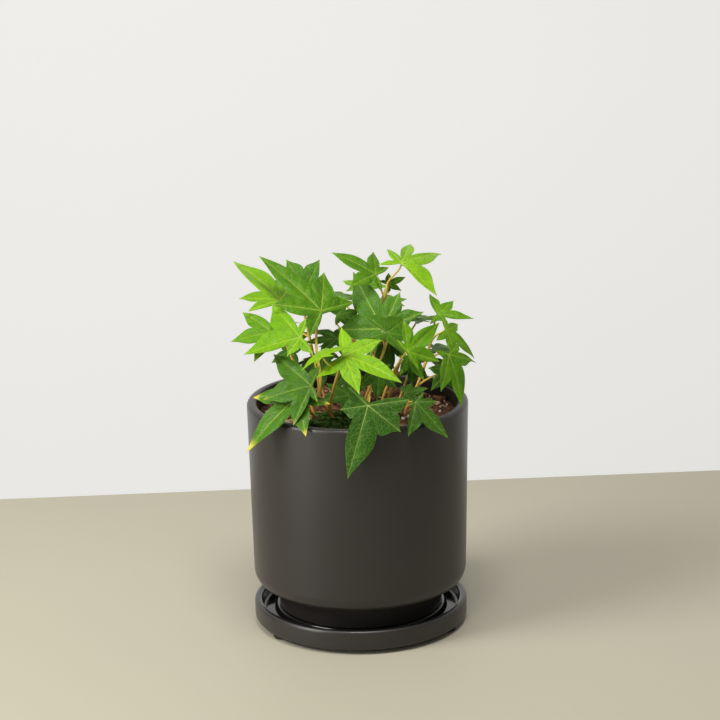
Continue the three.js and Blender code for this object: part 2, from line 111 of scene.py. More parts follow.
# Materials
class Finish:
    """A material whose nodes are made by short calls. A value is a number, a colour or a socket."""

    def __init__(self, name, roughness=0.5, specular=0.5):
        self.material = bpy.data.materials.new(name)
        self.material.use_nodes = True
        self.nodes = self.material.node_tree.nodes
        self.links = self.material.node_tree.links
        self.shader = self.nodes["Principled BSDF"]
        self.set(roughness=roughness)
        self.shader.inputs["Specular IOR Level"].default_value = specular

    def plug(self, socket, value):
        if isinstance(value, bpy.types.NodeSocket):
            self.links.new(value, socket)
        else:
            socket.default_value = value

    def node(self, kind, inputs, output=0, **settings):
        made = self.nodes.new("ShaderNode" + kind)
        for name, value in settings.items():
            setattr(made, name, value)
        for key, value in inputs.items():
            self.plug(made.inputs[key], value)
        return made.outputs[output]

    def set(self, color=None, roughness=None, normal=None):
        if color is not None:
            self.plug(self.shader.inputs["Base Color"], color)
        if roughness is not None:
            self.plug(self.shader.inputs["Roughness"], roughness)
        if normal is not None:
            self.plug(self.shader.inputs["Normal"], normal)

    def math(self, operation, a, b=0.0, clamp=False):
        return self.node("Math", {0: a, 1: b}, operation=operation, use_clamp=clamp)

    def mix(self, share, a, b):
        return self.node("Mix", {0: share, 6: a, 7: b}, output=2, data_type="RGBA")

    def step(self, value, low, high, start=0.0, end=1.0):
        spans = {0: value, 1: low, 2: high, 3: start, 4: end}
        return self.node("MapRange", spans, interpolation_type="SMOOTHSTEP")

    def ramp(self, value, stops):
        made = self.nodes.new("ShaderNodeValToRGB")
        self.plug(made.inputs[0], value)
        elements = made.color_ramp.elements
        while len(elements) < len(stops):
            elements.new(0.5)
        for element, (place, color) in zip(elements, stops):
            element.position = place
            element.color = (*color, 1)
        return made.outputs[0]

    def noise(self, vector, scale, detail=2.0):
        return self.node("TexNoise", {"Vector": vector, "Scale": scale, "Detail": detail})

    def attribute(self, name):
        return self.node("Attribute", {}, output=1, attribute_name=name)

    def split(self, vector):
        made = self.nodes.new("ShaderNodeSeparateXYZ")
        self.plug(made.inputs[0], vector)
        return made.outputs

    def bump(self, height, distance, strength=1.0):
        return self.node("Bump", {"Height": height, "Distance": distance, "Strength": strength})

    def place(self):
        return self.node("TexCoord", {}, output=3)


def leaf_finish():
    """Leaf blade: green by age, with pale main veins, side veins and a fine net between them."""
    f = Finish("leaf_blade", specular=0.16)
    age, yellow, side = f.split(f.attribute("tone"))
    flat = f.attribute("flat")
    along, across, _ = f.split(f.node("UVMap", {}, uv_map="vein"))
    reach, gap, _ = f.split(f.node("UVMap", {}, uv_map="span"))

    # Main veins taper to the tips; side veins leave them slantwise and fade towards the edge
    off_vein = f.math("ABSOLUTE", across)
    vein_width = f.math("SUBTRACT", 0.007, f.math("MULTIPLY", along, 0.004))
    main = f.step(f.math("DIVIDE", off_vein, vein_width), 0.5, 1.3, 1.0, 0.0)
    wander = f.math("MULTIPLY", f.noise(flat, 7.0), 0.05)
    other_side = f.math("MULTIPLY", f.math("GREATER_THAN", across, 0.0), 0.5)
    slant = f.math("SUBTRACT", along, f.math("MULTIPLY", off_vein, SIDE_VEIN_SLANT))
    phase = f.math("DIVIDE", f.math("ADD", slant, wander), SIDE_VEIN_SPACING)
    phase = f.math("ADD", phase, other_side)
    off_side = f.math("ABSOLUTE", f.math("SUBTRACT", phase, f.math("ROUND", phase)))
    thin = f.step(off_vein, 0.0, 0.3, 0.034, 0.016)
    branch = f.step(f.math("DIVIDE", off_side, thin), 0.4, 1.2, 1.0, 0.0)
    branch = f.math("MULTIPLY", branch, f.step(reach, 0.75, 1.0, 1.0, 0.1))
    branch = f.math("MULTIPLY", branch, f.step(gap, 0.0, 0.05))
    cells = f.node("TexVoronoi", {"Vector": flat, "Scale": 22.0}, feature="DISTANCE_TO_EDGE")
    net = f.step(cells, 0.02, 0.10, 1.0, 0.0)

    # Colour
    mottle = f.noise(flat, 5.0, 4.0)
    shade = f.math("ADD", age, f.math("MULTIPLY", f.math("SUBTRACT", mottle, 0.5), 0.5), clamp=True)
    green = f.ramp(shade, [(0.0, (0.200, 0.420, 0.003)), (0.28, (0.120, 0.305, 0.003)),
                           (0.6, (0.053, 0.174, 0.004)), (1.0, (0.022, 0.084, 0.004))])
    pale = f.ramp(age, [(0.0, (0.40, 0.60, 0.03)), (1.0, (0.19, 0.31, 0.06))])
    flush = f.step(off_vein, 0.0, 0.05, 0.14, 0.0)
    shown = f.step(age, 0.1, 0.8, 0.22, 0.6)
    color = f.mix(flush, green, pale)
    color = f.mix(f.math("MULTIPLY", net, f.step(age, 0.3, 0.9, 0.09, 0.22)), color, pale)
    color = f.mix(f.math("MULTIPLY", branch, shown), color, pale)
    color = f.mix(f.math("MULTIPLY", main, 0.8), color, pale)
    color = f.mix(f.step(reach, 0.965, 1.0, 0.0, 0.22), color, pale)
    worn = f.step(f.math("ADD", yellow, f.math("MULTIPLY", mottle, 0.4)), 0.3, 0.85, 0.0, 0.9)
    color = f.mix(worn, color, (0.66, 0.58, 0.06, 1))
    under = f.mix(0.4, color, (0.20, 0.36, 0.06, 1))
    f.set(color=f.mix(side, under, color))

    # Relief and gloss
    veined = f.math("ADD", f.math("MULTIPLY", branch, -0.5), f.math("MULTIPLY", net, -0.25))
    height = f.math("ADD", veined, f.math("MULTIPLY", f.noise(flat, 4.0, 2.0), 3.0))
    f.set(normal=f.bump(height, 0.0006, 0.9))
    gloss = f.math("ADD", 0.27, f.math("MULTIPLY", f.noise(flat, 9.0, 3.0), 0.2))
    f.set(roughness=f.math("ADD", gloss, f.math("MULTIPLY", f.math("SUBTRACT", 1.0, side), 0.2)))
    f.shader.inputs["Subsurface Weight"].default_value = 0.12
    f.shader.inputs["Subsurface Radius"].default_value = (0.6, 1.0, 0.1)
    f.shader.inputs["Subsurface Scale"].default_value = 0.0012
    return f.material


def vein_finish():
    """Main vein ribs, pale yellow-green."""
    f = Finish("leaf_vein", roughness=0.5, specular=0.4)
    age, _, _ = f.split(f.attribute("tone"))
    streak = f.noise(f.attribute("flat"), 14.0, 3.0)
    pale = f.ramp(age, [(0.0, (0.42, 0.60, 0.06)), (1.0, (0.36, 0.47, 0.12))])
    f.set(color=f.mix(f.math("MULTIPLY", streak, 0.35), pale, (0.22, 0.36, 0.04, 1)))
    return f.material


def stalk_finish():
    """Stems and leaf stalks: yellow-green when young, orange-tan lower down, brown at the root."""
    f = Finish("stem_bark", roughness=0.5, specular=0.4)
    wood, _, _ = f.split(f.attribute("tone"))
    place = f.attribute("flat")
    streak = f.noise(place, 3.0, 4.0)
    shade = f.math("ADD", wood, f.math("MULTIPLY", f.math("SUBTRACT", streak, 0.5), 0.3), clamp=True)
    color = f.ramp(shade, [(0.0, (0.42, 0.55, 0.05)), (0.3, (0.74, 0.54, 0.08)),
                           (0.55, (0.72, 0.40, 0.08)), (0.8, (0.50, 0.24, 0.08)),
                           (1.0, (0.24, 0.11, 0.05))])
    f.set(color=color, normal=f.bump(streak, 0.0002, 0.6))
    return f.material


def pot_finish():
    """Matte charcoal ceramic with a faint mottle and a fine grain."""
    f = Finish("matte_charcoal", specular=0.45)
    place = f.place()
    cloud = f.noise(place, 18.0, 4.0)
    grain = f.noise(place, 1400.0, 2.0)
    dark = f.mix(cloud, (0.020, 0.0175, 0.016, 1), (0.027, 0.024, 0.022, 1))
    f.set(color=f.mix(f.math("MULTIPLY", grain, 0.3), dark, (0.042, 0.037, 0.034, 1)))
    f.set(roughness=f.math("ADD", 0.28, f.math("MULTIPLY", cloud, 0.1)))
    f.set(normal=f.bump(grain, 0.0001, 0.35))
    return f.material


def gloss_finish():
    """Glossy black glaze inside the saucer."""
    f = Finish("gloss_black", specular=0.5)
    place = f.place()
    cloud = f.noise(place, 30.0, 3.0)
    f.set(color=f.mix(cloud, (0.006, 0.0055, 0.0055, 1), (0.012, 0.011, 0.011, 1)))
    f.set(roughness=f.math("ADD", 0.06, f.math("MULTIPLY", cloud, 0.06)))
    f.set(normal=f.bump(f.noise(place, 60.0, 2.0), 0.0002, 0.2))
    return f.material


def rubber_finish():
    f = Finish("black_rubber", roughness=0.7, specular=0.3)
    grain = f.noise(f.place(), 900.0, 2.0)
    f.set(color=f.mix(grain, (0.010, 0.010, 0.010, 1), (0.022, 0.021, 0.020, 1)))
    f.set(normal=f.bump(grain, 0.0001, 0.5))
    return f.material


def mix_finish():
    """Bark and humus: each bit has its own shade, from black-brown to tan."""
    f = Finish("bark_mix", roughness=0.85, specular=0.25)
    shade, _, _ = f.split(f.attribute("tone"))
    grain = f.noise(f.place(), 600.0, 4.0)
    value = f.math("ADD", shade, f.math("MULTIPLY", f.math("SUBTRACT", grain, 0.5), 0.5), clamp=True)
    color = f.ramp(value, [(0.0, (0.06, 0.03, 0.02)), (0.35, (0.17, 0.075, 0.04)),
                           (0.65, (0.31, 0.15, 0.08)), (0.85, (0.50, 0.31, 0.19)),
                           (1.0, (0.72, 0.56, 0.42))])
    f.set(color=color, normal=f.bump(grain, 0.0004, 0.8))
    return f.material


def perlite_finish():
    f = Finish("perlite", roughness=0.8, specular=0.3)
    grain = f.noise(f.place(), 900.0, 3.0)
    f.set(color=f.mix(grain, (0.62, 0.56, 0.50, 1), (0.88, 0.85, 0.81, 1)))
    f.set(normal=f.bump(grain, 0.0003, 0.7))
    return f.material


def moss_finish():
    f = Finish("moss", roughness=0.8, specular=0.25)
    shade, _, _ = f.split(f.attribute("tone"))
    f.set(color=f.ramp(shade, [(0.0, (0.015, 0.04, 0.008)), (0.6, (0.04, 0.11, 0.012)),
                               (1.0, (0.13, 0.22, 0.03))]))
    return f.material


LEAF_MATERIALS = [leaf_finish(), vein_finish(), stalk_finish()]
BLADE, VEIN, STALK = range(3)


# Meshes
def draws_from(seed):
    """Seeded draws between 0 and 1."""
    state = seed
    while True:
        state = state * 16807 % 2147483647
        yield state / 2147483647


class Skin:
    """Shells in millimetres, gathered into one mesh with the maps that the materials read."""

    def __init__(self):
        self.points, self.faces, self.slots = [], [], []
        self.tones, self.flats, self.veins, self.spans = [], [], [], []
        self.smooth = []
        self.count = 0

    def add(self, points, faces, slots=0, tones=(0, 0, 1), flats=(0, 0, 0), veins=None, spans=None,
            smooth=True):
        total = len(points)
        self.points.append(np.asarray(points, dtype=float))
        self.tones.append(np.broadcast_to(tones, (total, 3)))
        self.flats.append(np.broadcast_to(flats, (total, 3)))
        self.faces.extend(tuple(int(i) + self.count for i in face) for face in faces)
        corners = sum(len(face) for face in faces)
        self.veins.append(np.zeros((corners, 2)) if veins is None else veins)
        self.spans.append(np.zeros((corners, 2)) if spans is None else spans)
        self.slots.extend(np.broadcast_to(slots, len(faces)).tolist())
        self.smooth.extend([smooth] * len(faces))
        self.count += total

    def build(self, name, node, materials):
        """The piece that stands for a node of the frame."""
        mesh = bpy.data.meshes.new(name)
        mesh.from_pydata(np.concatenate(self.points) * MM, [], self.faces)
        for key, rows in (("vein", self.veins), ("span", self.spans)):
            values = np.concatenate(rows).astype(np.float32).ravel()
            mesh.uv_layers.new(name=key).data.foreach_set("uv", values)
        for key, rows in (("tone", self.tones), ("flat", self.flats)):
            values = np.concatenate(rows).astype(np.float32).ravel()
            mesh.attributes.new(key, "FLOAT_VECTOR", "POINT").data.foreach_set("vector", values)
        for material in materials:
            mesh.materials.append(material)
        mesh.polygons.foreach_set("material_index", self.slots)
        mesh.polygons.foreach_set("use_smooth", self.smooth)
        mesh.update()
        piece = bpy.data.objects.new(name, mesh)
        bpy.context.scene.collection.objects.link(piece)
        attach(piece, "root")
        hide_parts(node)


def arc(centre_r, centre_z, radius_r, radius_z, start, end, steps):
    """Points of a profile between two angles in degrees."""
    angles = np.radians(np.linspace(start, end, steps + 1))
    return [(centre_r + radius_r * math.cos(a), centre_z + radius_z * math.sin(a)) for a in angles]


def turned(skin, profile, slots=0, steps=LATHE_STEPS, centre=(0, 0)):
    """A turned shell about +Z from a profile that starts and ends on the axis or closes on itself."""
    angles = np.linspace(0, 2 * math.pi, steps, endpoint=False)
    points, rows = [], []
    for radius, z in profile:
        sides = steps if radius > 1e-6 else 1
        rows.append([len(points) + (i % sides) for i in range(steps)])
        for angle in angles[:sides]:
            points.append((centre[0] + radius * math.cos(angle), centre[1] + radius * math.sin(angle), z))
    if profile[0][0] > 1e-6:
        rows.append(rows[0])
    faces, face_slots = [], []
    for k, (low, high) in enumerate(zip(rows, rows[1:])):
        for i in range(steps):
            j = (i + 1) % steps
            faces.append(list(dict.fromkeys([low[i], low[j], high[j], high[i]])))
            face_slots.append(slots if isinstance(slots, int) else slots[k])
    skin.add(points, faces, face_slots)


def tube(skin, line, radii, slot, tones, seed, sides=8):
    """A round stalk along a line of points, with its own radius at each, closed at both ends."""
    line = np.asarray(line)
    tangents = np.gradient(line, axis=0)
    tangents /= np.linalg.norm(tangents, axis=1)[:, None]
    across = np.cross(tangents[0], (0.31, 0.17, 0.94) if abs(tangents[0][2]) < 0.9 else (0.94, 0.31, 0.17))
    across /= np.linalg.norm(across)
    angles = np.linspace(0, 2 * math.pi, sides, endpoint=False)
    points, flats, shades = [], [], []
    for k, (place, tangent, radius) in enumerate(zip(line, tangents, radii)):
        across = across - tangent * np.dot(across, tangent)
        across /= np.linalg.norm(across)
        other = np.cross(tangent, across)
        for angle in angles:
            points.append(place + radius * (math.cos(angle) * across + math.sin(angle) * other))
            flats.append((math.cos(angle), math.sin(angle), 0.25 * k + seed))
            shades.append(tones[k])
    faces = []
    for k in range(len(line) - 1):
        for i in range(sides):
            j = (i + 1) % sides
            faces.append((k * sides + i, k * sides + j, (k + 1) * sides + j, (k + 1) * sides + i))
    last = (len(line) - 1) * sides
    faces.append(tuple(range(sides))[::-1])
    faces.append(tuple(last + i for i in range(sides)))
    skin.add(points, faces, slot, shades, flats)


def catmull_rom(guides):
    """A smooth line through guide points, evenly spaced along its length (centripetal)."""
    guides = [np.array(p, dtype=float) for p in guides]
    guides = [2 * guides[0] - guides[1], *guides, 2 * guides[-1] - guides[-2]]
    line = []
    for p0, p1, p2, p3 in zip(guides, guides[1:], guides[2:], guides[3:]):
        t0, t1, t2 = [math.sqrt(np.linalg.norm(b - a)) for a, b in ((p0, p1), (p1, p2), (p2, p3))]
        leave = ((p1 - p0) / t0 - (p2 - p0) / (t0 + t1) + (p2 - p1) / t1) * t1
        arrive = ((p2 - p1) / t1 - (p3 - p1) / (t1 + t2) + (p3 - p2) / t2) * t1
        for t in np.linspace(0, 1, 40, endpoint=False):
            line.append(p1 + leave * t + (3 * (p2 - p1) - 2 * leave - arrive) * t ** 2
                        + (2 * (p1 - p2) + leave + arrive) * t ** 3)
    line.append(guides[-2])
    line = np.array(line)
    lengths = np.concatenate([[0], np.cumsum(np.linalg.norm(np.diff(line, axis=0), axis=1))])
    even = np.linspace(0, lengths[-1], LINE_STEPS + 1)
    return np.stack([np.interp(even, lengths, line[:, axis]) for axis in range(3)], 1)


def bezier(p0, p1, p2, p3, steps):
    """Points of a cubic curve, ends included."""
    t = np.linspace(0, 1, steps + 1)[:, None]
    return (1 - t) ** 3 * p0 + 3 * (1 - t) ** 2 * t * p1 + 3 * (1 - t) * t ** 2 * p2 + t ** 3 * p3


# Leaves, as the frame's source shapes them
FAN = [0, 54, -54, 118, -118]
LOBE_ORDER = [3, 1, 0, 2, 4]
NOTCH = 0.04
leaf_draw = draws_from(5087)


class Leaf:
    """A leaf's place, turns and lobes, with what only its finish needs: age and yellowing."""

    def __init__(self, at, heading, climb, roll, reach, fan, cut, sweep, droop, node, age, yellow=0.0):
        self.at = np.array(at, dtype=float)
        self.reach, self.fan, self.cut = reach, fan, cut
        self.sweep, self.droop, self.node = sweep, droop, node
        self.age, self.yellow = age, yellow
        self.size = reach[0]
        self.veins = [np.array([math.cos(math.radians(a)), math.sin(math.radians(a))]) for a in fan]
        heading, climb, roll = [math.radians(a) for a in (heading, climb, roll)]
        self.along = np.array([math.cos(climb) * math.cos(heading), math.cos(climb) * math.sin(heading),
                               math.sin(climb)])
        level = np.array([-math.sin(heading), math.cos(heading), 0])
        over = np.cross(self.along, level)
        self.left = level * math.cos(roll) + over * math.sin(roll)
        self.up = over * math.cos(roll) - level * math.sin(roll)

    def outline(self):
        tips = [self.veins[k] * self.reach[k] for k in LOBE_ORDER]
        angles = [math.radians(self.fan[k]) for k in LOBE_ORDER]
        cuts = [np.array([-NOTCH, NOTCH / 2]) * self.size]
        for (a, b), (tip, other) in zip(zip(angles, angles[1:]), zip(tips, tips[1:])):
            depth = self.cut * min(np.linalg.norm(tip), np.linalg.norm(other))
            cuts.append(depth * np.array([math.cos((a + b) / 2), math.sin((a + b) / 2)]))
        cuts.append(np.array([-NOTCH, -NOTCH / 2]) * self.size)
        edge = []
        for i, tip in enumerate(tips):
            edge.extend(self.flank(cuts[i], tip)[:-1])
            edge.extend(self.flank(cuts[i + 1], tip)[:0:-1])
        return EDGE_INSET * np.array(edge)

    def flank(self, cut, tip):
        axis = tip / np.linalg.norm(tip)
        outward = cut - axis * np.dot(cut, axis)
        outward /= np.linalg.norm(outward)
        length = np.linalg.norm(tip - cut)
        leave = 0.98 * axis + 0.2 * outward
        arrive = math.cos(math.radians(20)) * axis - math.sin(math.radians(20)) * outward
        return bezier(cut, cut + 0.4 * length * leave, tip - 0.45 * length * arrive, tip, FLANK_STEPS)

    def off_veins(self, flats):
        """Distances to the nearest and to the next main vein."""
        away = np.linalg.norm(flats, axis=1)
        rows = []
        for vein in self.veins:
            ahead = flats @ vein > 0
            rows.append(np.where(ahead, np.abs(flats[:, 0] * vein[1] - flats[:, 1] * vein[0]), away))
        rows = np.sort(np.stack(rows), axis=0)
        return rows[0], rows[1]

    def set(self, flats, rise):
        """Places points of the flat leaf in space: folded up from each main vein, drooping to the tips."""
        near, far = self.off_veins(flats)
        soft = 0.06 * self.size
        blend = np.clip(soft - (far - near), 0, None) / soft
        off_vein = near - blend ** 2 * soft / 4
        sideways = flats[:, 1] + self.sweep * flats[:, 0] * np.abs(flats[:, 0]) / self.size
        height = BLADE_FOLD * off_vein - self.droop * (flats ** 2).sum(1) / self.size + rise
        return (self.at + flats[:, :1] * self.along + sideways[:, None] * self.left
                + height[:, None] * self.up)


def blade(skin, leaf):
    """Blade with quilted faces between the side veins, a gently waved edge and thin margins."""
    edge = leaf.outline()
    count = len(edge)
    shares = np.append(np.linspace(0, 1, RINGS)[1:] ** 0.92 * RIM_SHARE, 1.0)
    flats = np.concatenate([[(0, 0)], (shares[:, None, None] * edge[None]).reshape(-1, 2)])
    share = np.concatenate([[0], np.repeat(shares, count)])
    near, far = leaf.off_veins(flats)
    near, gap = near / leaf.size, (far - near) / leaf.size

    # Quilting and waves vanish on the veins, at the tips and between the lobes
    lobes = np.concatenate([[0], np.tile(np.arange(count) // (2 * FLANK_STEPS), RINGS)])
    directions = np.array([leaf.veins[LOBE_ORDER[k]] for k in lobes])
    along = (flats * directions).sum(1) / leaf.size
    phase = (along - SIDE_VEIN_SLANT * near) / SIDE_VEIN_SPACING
    calm = np.clip(gap / 0.08, 0, 1) * np.clip(near / 0.06, 0, 1)
    quilt = QUILT * leaf.size * np.abs(np.sin(math.pi * phase)) * calm * (1 - share ** 5)
    turn = 2 * math.pi * np.concatenate([[0], np.tile(np.arange(count) / count, RINGS)])
    start = 2 * math.pi * next(leaf_draw)
    waves = 7 + int(3 * next(leaf_draw))
    wave = WAVE * leaf.size * np.sin(waves * turn + start) * share ** 3 * np.clip(near / 0.1, 0, 1)
    half = BLADE_HALF + (EDGE_HALF - BLADE_HALF) * share ** 2

    points = np.concatenate([leaf.set(flats, quilt + wave + half), leaf.set(flats, quilt + wave - half)])
    total = len(flats)
    seed = 10 * next(leaf_draw)
    tones = np.zeros((2 * total, 3))
    tones[:, 0] = leaf.age
    lobe_reach = np.array([leaf.reach[LOBE_ORDER[k]] for k in lobes]) / leaf.size
    tones[:, 1] = np.tile(leaf.yellow * np.clip((along / lobe_reach - 0.72) / 0.28, 0, 1) ** 1.5, 2)
    tones[:total, 2] = 1
    flat3 = np.column_stack([np.tile(flats / leaf.size, (2, 1)), np.full(2 * total, seed)])

    first = np.arange(count)
    after = (first + 1) % count
    fan = np.stack([np.zeros(count, int), 1 + first, 1 + after], 1)
    faces, sectors = list(fan), list(first)
    for ring in range(RINGS - 1):
        low, high = 1 + ring * count, 1 + (ring + 1) * count
        faces.extend(np.stack([low + first, high + first, high + after, low + after], 1))
        sectors.extend(first)
    upper = [list(face) for face in faces]
    lower = [[i + total for i in face[::-1]] for face in upper]
    rim = 1 + (RINGS - 1) * count
    side = [[rim + i + total, rim + j + total, rim + j, rim + i] for i, j in zip(first, after)]
    faces = upper + lower + side
    sectors = sectors + sectors + list(first)

    corners = np.concatenate([np.array(face) % total for face in faces])
    owner = np.repeat(np.array(sectors) // (2 * FLANK_STEPS), [len(face) for face in faces])
    vein = np.array([leaf.veins[k] for k in LOBE_ORDER])[owner]
    at = flats[corners] / leaf.size
    veins = np.stack([(at * vein).sum(1), vein[:, 0] * at[:, 1] - vein[:, 1] * at[:, 0]], 1)
    spans = np.stack([share[corners], gap[corners]], 1)
    skin.add(points, faces, BLADE, tones, flat3, veins, spans)

    # Ribs: the main veins stand a little proud of both faces
    for k, vein in enumerate(leaf.veins):
        shares = np.linspace(0.0, RIB_END, RIB_POINTS)
        line = leaf.set(shares[:, None] * vein[None] * leaf.reach[k], 0.03)
        thick = 0.4 * (leaf.size / 40) ** 0.5 * (1.0 if k < 3 else 0.85)
        radii = np.maximum(thick * (0.62 - 0.5 * shares), 0.04)
        tube(skin, line, radii, VEIN, [(leaf.age, 0, 1)] * RIB_POINTS, seed=seed, sides=6)


def stem_shade(share, age):
    """Woodiness along a stem: brown at the root, tan to yellow-green at the tip."""
    return np.clip(0.9 - 0.6 * share - 0.15 * (1 - age), 0, 1)


def petiole(skin, line, tangents, leaf, stem_age):
    index = int(round(leaf.node * (len(line) - 1)))
    start = line[index]
    end = leaf.at + 0.5 * leaf.along - 0.1 * leaf.up
    span = np.linalg.norm(leaf.at - start)
    first = start + 0.3 * span * tangents[index]
    second = leaf.at - 0.2 * span * leaf.along - 0.28 * span * leaf.up
    curve = bezier(start, first, second, end, PETIOLE_STEPS)
    share = np.linspace(0, 1, PETIOLE_STEPS + 1)
    radii = PETIOLE_RADIUS * (1.12 - 0.3 * share + 0.35 * np.exp(-(share / 0.06) ** 2))
    tones = [(t, 0, 1) for t in np.clip(0.42 - 0.22 * share + 0.12 * (stem_age - 0.5), 0, 1)]
    tube(skin, curve, radii, STALK, tones, seed=10 * next(leaf_draw))


def limb(skin, guides, leaves, branches=(), whole=True):
    """A stem or branch with its stalks, leaves and side branches."""
    line = catmull_rom(guides)
    tangents = np.gradient(line, axis=0)
    tangents /= np.linalg.norm(tangents, axis=1)[:, None]
    stem_age = float(np.mean([leaf.age for leaf in leaves]))
    share = np.linspace(0, 1, STEM_STEPS + 1)
    radii = STEM_RADIUS + (STEM_TIP_RADIUS - STEM_RADIUS) * share
    for node in [leaf.node for leaf in leaves] + [node for node, _, _ in branches]:
        radii = radii + NODE_SWELL * np.exp(-((share - node) / 0.012) ** 2)
    radii = radii * np.where(share > 0.985, 0.6, 1.0)
    low = 0.0 if whole else 0.35
    tones = [(t, 0, 1) for t in stem_shade(low + (1 - low) * share, stem_age)]
    tube(skin, line[::LINE_STEPS // STEM_STEPS], radii, STALK, tones, seed=10 * next(leaf_draw), sides=10)
    for leaf in leaves:
        petiole(skin, line, tangents, leaf, stem_age)
        blade(skin, leaf)
    for node, bends, branch_leaves in branches:
        start = line[int(round(node * (len(line) - 1)))]
        limb(skin, [start, *bends], branch_leaves, whole=False)


def stem(node, root, bends, leaves, branches=()):
    skin = Skin()
    x, y = root
    guides = [(x, y, SOIL_TOP_Z - ROOT_DEPTH), (x, y, SOIL_TOP_Z - 6), (x, y, SOIL_TOP_Z + 1), *bends]
    limb(skin, guides, leaves, branches)
    skin.build("fine_" + node, node, LEAF_MATERIALS)


# Leafy stems at the front. Places, turns and lobes are those of the frame's source; age runs from 0,
# young and lime green, to 1, old and dark, and the last number is how far the tips have yellowed.
stem("ivy_stem_fork", (-14, -21),
     [(-18, -26, 138), (-22, -31, 146), (-21, -29, 157), (-23, -20, 172), (-23, -14, 182)],
     [Leaf((-20, -10, 192), 155, 41, -23, (50, 30, 30, 21, 25), (0, 45, -53, 112, -108),
           0.52, 0, 0.11, 0.98, 0.52),
      Leaf((-32, -32, 182), -177, -11, -41, (34, 14, 32, 14, 14), (0, 47, -67, 113, -114),
           0.5, 0.02, 0.11, 0.54, 0.22)],
     [(0.35, [(-15.5, -28, 142), (-12, -34, 157), (-9, -39, 167)],
       [Leaf((-7, -48, 175), -20, -10, 40, (37, 25, 26, 21, 21), (0, 49, -49, 116, -120),
             0.45, -0.14, 0.11, 0.98, 0.06),
        Leaf((-19, -56, 177), 101, 10, -25, (16, 15, 17, 7, 7), (0, 78, -77, 118, -118),
             0.5, 0, 0.25, 0.8, 0.02)])])

stem("ivy_stem_left", (-26, -4),
     [(-29, -4, 140), (-36, -3, 158), (-41, -2, 172), (-42, -1, 182)],
     [Leaf((-44, 2, 196), 127, 24, 0, (49, 25, 34, 25, 23), (0, 67, -54, 97, -118),
           0.5, 0.01, 0.11, 0.98, 0.18),
      Leaf((-48, -22, 183), -179, -9, -47, (25, 21, 24, 12, 12), (0, 51, -48, 118, -118),
           0.5, 0, 0.11, 0.8, 0.36)])

stem("ivy_stem_rim_left", (-24, -18),
     [(-27, -26, 136), (-29, -34, 143), (-27, -39, 149)],
     [Leaf((-26, -48, 158), 173, -14, -49, (30, 25, 35, 11, 14), (0, 57, -53, 103, -118),
           0.52, 0.01, 0.11, 0.98, 0.78, 0.5),
      Leaf((-33, -44, 151), -155, -32, -24, (43, 27, 31, 20, 20), (0, 59, -54, 118, -118),
           0.46, -0.01, 0.24, 0.75, 0.74, 1.0)])

stem("ivy_stem_rim_front", (2, -24),
     [(4, -33, 138), (6, -42, 147), (7, -48, 152)],
     [Leaf((6, -62, 150), -130, -63, -34, (43, 24, 16, 24, 15), (0, 67, -66, 114, -117),
           0.7, 0, 0.12, 0.98, 1.0),
      Leaf((-4, -14, 142), -155, 1, -29, (20, 15, 17, 9, 9), FAN, 0.6, 0, 0.11, 0.4, 0.85),
      Leaf((13, -34, 164), -100, -60, -13, (19, 16, 17, 7, 8), (0, 44, -43, 112, -108),
           0.6, 0, 0.13, 0.75, 0.9)])

stem("ivy_stem_rim_right", (20, -22),
     [(22, -28, 138), (24, -34, 142), (27, -40, 145)],
     [Leaf((33, -50, 148), -30, -41, 30, (28, 13, 22, 8, 6), (0, 55, -54, 100, -100),
           0.55, 0.04, 0.11, 0.98, 0.86),
      Leaf((27, -40, 150), -9, 18, 47, (14, 8, 9, 6, 5), (0, 48, -53, 105, -109),
           0.7, 0, 0.1, 0.8, 0.85),
      Leaf((32, -24, 164), -95, -50, 0, (15, 13, 12, 7, 7), (0, 46, -42, 105, -105),
           0.6, 0, 0.12, 0.7, 0.9)])

stem("ivy_stem_right_front", (12, -14),
     [(15, -20, 142), (20, -26, 157), (24, -32, 166)],
     [Leaf((29, -40, 175), 25, 34, 64, (26, 19, 20, 9, 12), (0, 54, -57, 91, -98),
           0.5, 0.01, 0.11, 0.98, 0.38),
      Leaf((30, -28, 169), -54, -37, 22, (18, 13, 14, 7, 7), (0, 61, -52, 111, -118),
           0.5, 0.01, 0.12, 0.9, 0.5)])

stem("ivy_stem_right", (28, -6),
     [(34, -5, 142), (40, -4, 158), (43, -4, 170), (45, -2, 178)],
     [Leaf((48, 4, 185), -5, -4, 34, (21, 15, 8, 18, 9), (0, 56, -46, 111, -118),
           0.5, 0, 0.07, 0.98, 0.34),
      Leaf((52, -10, 179), 10, -35, 37, (24, 14, 17, 11, 12), (0, 58, -54, 118, -111),
           0.5, -0.16, 0.15, 0.85, 0.3),
      Leaf((53, -23, 168), -56, -54, -4, (31, 18, 24, 13, 9), (0, 72, -32, 120, -117),
           0.55, -0.04, 0.17, 0.68, 0.45),
      Leaf((54, -8, 155), -147, -36, -42, (17, 13, 13, 8, 8), FAN, 0.6, 0, 0.12, 0.5, 0.8)])

